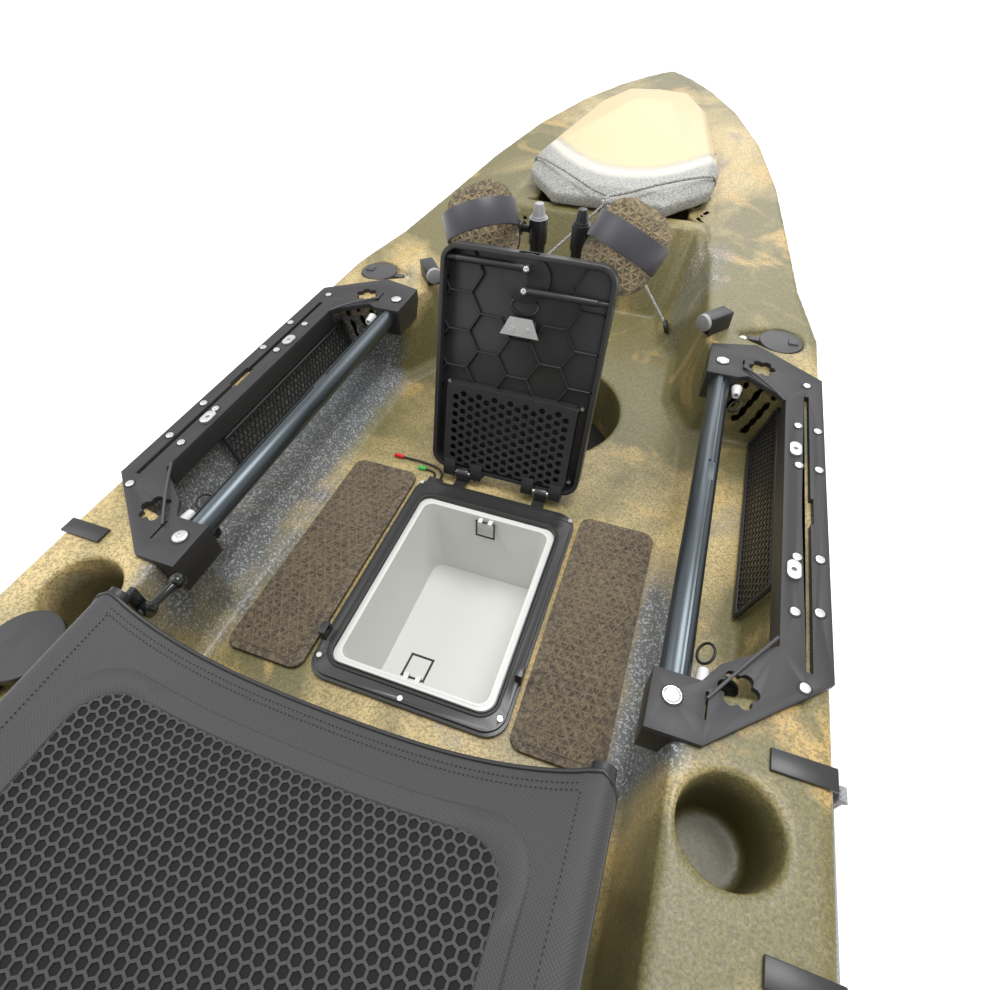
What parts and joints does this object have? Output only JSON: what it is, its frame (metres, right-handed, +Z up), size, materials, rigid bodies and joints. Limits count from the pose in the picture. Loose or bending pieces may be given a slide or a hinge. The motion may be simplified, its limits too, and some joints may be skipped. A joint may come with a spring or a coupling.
{
  "type": "pedal fishing kayak",
  "caption": "Sit-on-top fishing kayak with pedal drive, sling seat, side gear rails, centre hatch with hinged lid and liner, bow hatch and stern rudder.",
  "frame": {"origin": "middle of the kayak's length and beam, on the plane that its keel strakes stand on", "axes": "+Y to the bow, +X to starboard, +Z up"},
  "size_m": [0.966, 3.69, 0.9014],
  "materials": {
    "hull": "satin",
    "side_plate": "matt",
    "rail_block": "satin",
    "gear_rail": "anodised satin",
    "steel": "satin",
    "anchor": "cast satin",
    "net": "satin",
    "strap": "satin",
    "white_plastic": "satin",
    "gloss_black": "gloss",
    "black_plastic": "satin",
    "grey_plastic": "satin",
    "cap_rubber": "satin",
    "webbing": "woven",
    "hatch_black": "satin",
    "seal_rubber": "satin",
    "liner": "satin",
    "wire": "satin",
    "deck_pad": "embossed foam",
    "pedal_pad": "embossed foam",
    "pedal_strap": "satin",
    "fin": "satin",
    "rudder": "satin",
    "seat_tube": "anodised satin",
    "seat_mesh": "spacer mesh",
    "soft_black": "satin",
    "shock_cord": "braided",
    "lead_black": "satin",
    "lead_cap": "gloss"
  },
  "bodies": {
    "hull": {"hull_bottom": "hull", "hull_stern_deck": "hull", "hull_mid_deck": "hull", "hull_bow_deck": "hull", "side_plates": "side_plate", "rail_brackets": "rail_block", "gear_rails": "gear_rail", "deck_screws": "steel", "line_anchors": "anchor", "side_nets": "net", "rod_straps": "strap", "bungee_eyes": "white_plastic", "tube_plugs": "gloss_black", "line_handle_holders": "black_plastic", "carry_handle_mounts": "black_plastic", "hatch_frame": "hatch_black", "hatch_seal": "seal_rubber", "hinge_pins": "steel", "deck_pads": "deck_pad", "drive_base": "black_plastic", "drive_housing": "grey_plastic", "rudder_bracket": "black_plastic", "tie_down_cord": "shock_cord", "power_lead_red": "lead_black", "power_lead_green": "lead_black", "lead_connectors": "lead_cap"},
    "lid": {"hatch_lid": "hatch_black", "lid_pocket": "hatch_black", "line_cutter": "steel", "lid_screws": "steel"},
    "latch_knob": {"latch_knob": "black_plastic"},
    "latch_rod_left": {"latch_rod_left": "black_plastic"},
    "latch_rod_right": {"latch_rod_right": "black_plastic"},
    "liner": {"hatch_liner": "liner"},
    "bail_front": {"bail_front": "wire"},
    "bail_rear": {"bail_rear": "wire"},
    "crank_left": {"crank_arm_left": "black_plastic"},
    "crank_right": {"crank_arm_right": "black_plastic"},
    "pedal_left": {"pedal_left": "pedal_pad", "pedal_strap_left": "pedal_strap"},
    "pedal_right": {"pedal_right": "pedal_pad", "pedal_strap_right": "pedal_strap"},
    "fin_front": {"fin_front": "fin"},
    "fin_rear": {"fin_rear": "fin"},
    "seat": {"seat_frame": "seat_tube", "seat_sling": "seat_mesh"},
    "backrest": {"backrest_frame": "seat_tube", "backrest_sling": "seat_mesh"},
    "seat_lever": {"seat_lever": "black_plastic"},
    "steering_handle": {"steering_handle": "soft_black"},
    "rudder_head": {"rudder_head": "black_plastic"},
    "rudder_blade": {"rudder_blade": "rudder"},
    "bow_hatch": {"bow_hatch": "hull", "bow_hatch_cord": "shock_cord"},
    "line_handle_left": {"line_handle_left": "grey_plastic"},
    "line_handle_right": {"line_handle_right": "grey_plastic"},
    "deck_cap_left": {"deck_cap_left": "cap_rubber"},
    "deck_cap_right": {"deck_cap_right": "cap_rubber"},
    "carry_handle_left": {"carry_handle_left": "webbing"},
    "carry_handle_right": {"carry_handle_right": "webbing"}
  },
  "joints": [
    {"name": "lid_hinge", "type": "hinge", "parent": "hull", "child": "lid", "pos_m": [0, 0.15, 0.224], "axis": [1, 0, 0], "range_deg": [0, 106.8]},
    {"name": "knob_turn", "type": "hinge", "parent": "lid", "child": "latch_knob", "pos_m": [0, 0.24537, 0.53991], "axis": [0, 0.9573, -0.289], "range_deg": [-39, 0]},
    {"name": "latch_rod_left_slide", "type": "slide", "parent": "lid", "child": "latch_rod_left", "axis": [1, 0, 0], "range_m": [-0.0094, 0]},
    {"name": "latch_rod_right_slide", "type": "slide", "parent": "lid", "child": "latch_rod_right", "axis": [1, 0, 0], "range_m": [0, 0.0094]},
    {"name": "liner_lift", "type": "slide", "parent": "hull", "child": "liner", "axis": [0, 0, -1], "range_m": [-0.2, 0]},
    {"name": "bail_front_swing", "type": "hinge", "parent": "liner", "child": "bail_front", "pos_m": [0, 0.071, 0.207], "axis": [1, 0, 0], "range_deg": [-170, 0]},
    {"name": "bail_rear_swing", "type": "hinge", "parent": "liner", "child": "bail_rear", "pos_m": [0, -0.21, 0.207], "axis": [-1, 0, 0], "range_deg": [-85, 80]},
    {"name": "crank_left_swing", "type": "hinge", "parent": "hull", "child": "crank_left", "pos_m": [0, 0.43, 0.17], "axis": [1, 0, 0], "range_deg": [-6, 6]},
    {"name": "crank_right_swing", "type": "hinge", "parent": "hull", "child": "crank_right", "pos_m": [0, 0.43, 0.17], "axis": [1, 0, 0], "range_deg": [-6, 6]},
    {"name": "pedal_left_tilt", "type": "hinge", "parent": "crank_left", "child": "pedal_left", "pos_m": [0, 0.43, 0.53], "axis": [1, 0, 0], "range_deg": [-20, 20]},
    {"name": "pedal_right_tilt", "type": "hinge", "parent": "crank_right", "child": "pedal_right", "pos_m": [0, 0.43, 0.53], "axis": [1, 0, 0], "range_deg": [-20, 20]},
    {"name": "fin_front_kick", "type": "hinge", "parent": "hull", "child": "fin_front", "pos_m": [0, 0.47, 0.024], "axis": [1, 0, 0], "range_deg": [0, 90]},
    {"name": "fin_rear_kick", "type": "hinge", "parent": "hull", "child": "fin_rear", "pos_m": [0, 0.35, 0.024], "axis": [1, 0, 0], "range_deg": [0, 90]},
    {"name": "seat_lift", "type": "slide", "parent": "hull", "child": "seat", "axis": [0, 0, 1], "range_m": [0, 0.12]},
    {"name": "backrest_fold", "type": "hinge", "parent": "seat", "child": "backrest", "pos_m": [0, -0.744, 0.46], "axis": [1, 0, 0], "range_deg": [-95, 0]},
    {"name": "seat_lever_pull", "type": "hinge", "parent": "seat", "child": "seat_lever", "pos_m": [-0.239, -0.309, 0.408], "axis": [1, 0, 0], "range_deg": [-20, 25]},
    {"name": "steering_turn", "type": "hinge", "parent": "hull", "child": "steering_handle", "pos_m": [-0.36, -0.424, 0.37], "axis": [0, 0, 1], "range_deg": [-40, 40]},
    {"name": "rudder_turn", "type": "hinge", "parent": "hull", "child": "rudder_head", "pos_m": [0, -1.809, 0.3], "axis": [0, 0, 1], "range_deg": [-40, 40]},
    {"name": "rudder_blade_drop", "type": "hinge", "parent": "rudder_head", "child": "rudder_blade", "pos_m": [0, -1.83, 0.436], "axis": [1, 0, 0], "range_deg": [0, 250]},
    {"name": "bow_hatch_lift", "type": "hinge", "parent": "hull", "child": "bow_hatch", "pos_m": [0, 1.574, 0.448], "axis": [-1, 0, 0], "range_deg": [0, 45]},
    {"name": "line_handle_left_pull", "type": "slide", "parent": "hull", "child": "line_handle_left", "axis": [0.6428, -0.766, 0], "range_m": [0, 0.08]},
    {"name": "line_handle_right_pull", "type": "slide", "parent": "hull", "child": "line_handle_right", "axis": [-0.6428, -0.766, 0], "range_m": [0, 0.08]},
    {"name": "deck_cap_left_flip", "type": "hinge", "parent": "hull", "child": "deck_cap_left", "pos_m": [-0.346, 0.519, 0.355], "axis": [0, -1, 0], "range_deg": [-110, 0]},
    {"name": "deck_cap_right_flip", "type": "hinge", "parent": "hull", "child": "deck_cap_right", "pos_m": [0.346, 0.519, 0.355], "axis": [0, 1, 0], "range_deg": [-110, 0]},
    {"name": "carry_handle_left_swing", "type": "hinge", "parent": "hull", "child": "carry_handle_left", "pos_m": [-0.474, -0.31, 0.336], "axis": [0, -1, 0], "range_deg": [-100, 0]},
    {"name": "carry_handle_right_swing", "type": "hinge", "parent": "hull", "child": "carry_handle_right", "pos_m": [0.474, -0.31, 0.336], "axis": [0, 1, 0], "range_deg": [-100, 0]}
  ],
  "couplings": [
    {"joint": "latch_rod_left_slide", "follows": "knob_turn", "m_per_rad": 0.0138},
    {"joint": "latch_rod_right_slide", "follows": "knob_turn", "m_per_rad": -0.0138},
    {"joint": "crank_right_swing", "follows": "crank_left_swing", "ratio": -1},
    {"joint": "rudder_turn", "follows": "steering_turn", "ratio": -1}
  ]
}
